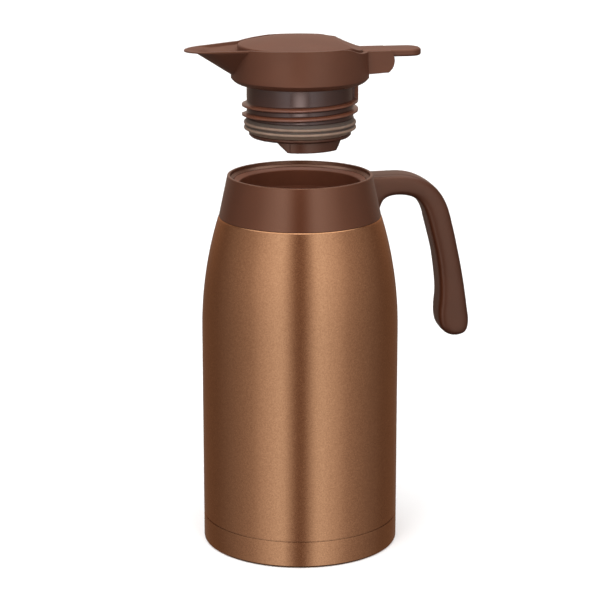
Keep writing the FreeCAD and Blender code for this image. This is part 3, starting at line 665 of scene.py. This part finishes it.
carpet = ("reflection_carpet", 2.2, -2, 0.07)
roof = ("reflection_roof", 1.7, 2.4, 1.8)
for name, radius, height, bright in (carpet, roof):
    bpy.ops.object.select_all(action="DESELECT")
    bpy.ops.mesh.primitive_circle_add(vertices=64, radius=radius, fill_type="NGON", location=(0, 0, height))
    sheet = bpy.context.active_object
    sheet.name = name
    sheet_cloth, tree, shader = new_finish(name + "_cloth")
    fill_in(shader, {
        "Base Color": black,
        "Emission Color": white,
        "Emission Strength": bright,
    })
    show_in_reflections_only(sheet, sheet_cloth)


def in_front(distance, turn, height):
    """A place at a distance from the pot's axis, turned about it from the front."""
    return Vector((distance * math.sin(turn), -distance * math.cos(turn), height))


card_distance = 0.085
card_height = 0.3055
card_size = (0.050, 0.029, 1)
card_light = 3.0
bpy.ops.object.select_all(action="DESELECT")
bpy.ops.mesh.primitive_plane_add(size=1, location=in_front(card_distance, view_turn, card_height),
                                 rotation=(math.pi / 2, 0, view_turn))
card = bpy.context.active_object
card.name = "reflection_card"
card.scale = card_size
card_paper, tree, shader = new_finish("card_paper")
place = add_node(tree, "ShaderNodeTexCoord", {}).outputs["Object"]
side = add_node(tree, "ShaderNodeSeparateXYZ", {"Vector": place}).outputs["X"]
from_middle = reckon(tree, "ABSOLUTE", side)
fill_in(shader, {
    "Base Color": black,
    "Emission Color": (1, 0.95, 0.95, 1),
    "Emission Strength": graded(tree, from_middle, 0.5, 0.1, 0, card_light),
})
show_in_reflections_only(card, card_paper)

# Floor and surround: a pale painted floor that takes the pot's shadow, in a white room.
# The room lights the pot softly from above, and shows as plain white itself.
floor_size = 8
floor_grey = (0.74, 0.74, 0.74, 1)
floor_lift = 0.22
bpy.ops.object.select_all(action="DESELECT")
bpy.ops.mesh.primitive_plane_add(size=floor_size, location=(0, 0, 0))
floor = bpy.context.active_object
floor.name = "floor"
floor_paint, tree, shader = new_finish("floor_paint")
path = add_node(tree, "ShaderNodeLightPath", {})
fill_in(shader, {
    "Base Color": floor_grey,
    "Roughness": 0.9,
    "Emission Color": white,
    "Emission Strength": reckon(tree, "MULTIPLY", path.outputs["Is Camera Ray"], floor_lift),
})
floor.data.materials.append(floor_paint)
floor.visible_glossy = False
floor.visible_diffuse = False

world = bpy.data.worlds.new("studio")
bpy.context.scene.world = world
world.use_nodes = True
tree = world.node_tree
soft = tree.nodes["Background"]
place = add_node(tree, "ShaderNodeTexCoord", {}).outputs["Generated"]
from_above = graded(tree, height_of(tree, place), -0.5, 0.3, 0.08, 0.45)
fill_in(soft, {"Color": white, "Strength": from_above})
plain_white = add_node(tree, "ShaderNodeBackground", {"Color": white, "Strength": 1})
path = add_node(tree, "ShaderNodeLightPath", {})
camera_or_glossy = reckon(tree, "MAXIMUM", path.outputs["Is Camera Ray"], path.outputs["Is Glossy Ray"])
seen = reckon(tree, "MAXIMUM", camera_or_glossy, path.outputs["Is Transmission Ray"])
choose = add_node(tree, "ShaderNodeMixShader", {
    "Fac": seen,
    1: soft.outputs["Background"],
    2: plain_white.outputs["Background"],
})
fill_in(tree.nodes["World Output"], {"Surface": choose.outputs["Shader"]})

# Lamps: one wide soft light from above, and two tall soft boxes to the left and right of the camera.
# They stay out of mirror reflections, where the studio cloths stand in for them.
sky_data = bpy.data.lights.new("top_lamp", "SUN")
sky_data.energy = 3.0
sky_data.angle = math.radians(70)
sky = bpy.data.objects.new("top_lamp", sky_data)
sky.rotation_euler = (math.radians(18), 0, math.radians(-25))
bpy.context.scene.collection.objects.link(sky)
sky.visible_glossy = False
lamp_distance = 1.9
lamp_height = 0.55
lamp_aim = Vector((0, 0, 0.2))
for name, side in (("left_lamp", -24), ("right_lamp", 24)):
    lamp_data = bpy.data.lights.new(name, "AREA")
    lamp_data.shape = "RECTANGLE"
    lamp_data.size = 0.6
    lamp_data.size_y = 1.4
    lamp_data.energy = 12
    lamp = bpy.data.objects.new(name, lamp_data)
    bpy.context.scene.collection.objects.link(lamp)
    lamp.location = in_front(lamp_distance, view_turn + math.radians(side), lamp_height)
    lamp.rotation_euler = (lamp_aim - lamp.location).to_track_quat("-Z", "Y").to_euler()
    lamp.visible_glossy = False

# Camera: a long lens in front of the pot, above it and tipped down, so that the mouth shows.
camera_distance = 1.512
camera_height = 0.5692
camera_tip = 14.62
camera_data = bpy.data.cameras.new("camera")
camera_data.sensor_width = 36
camera_data.lens = 132.99
camera = bpy.data.objects.new("camera", camera_data)
bpy.context.scene.collection.objects.link(camera)
camera.location = in_front(camera_distance, view_turn, camera_height)
camera.rotation_euler = (math.radians(90 - camera_tip), 0, view_turn)
bpy.context.scene.camera = camera
bpy.context.scene.view_settings.view_transform = "Standard"
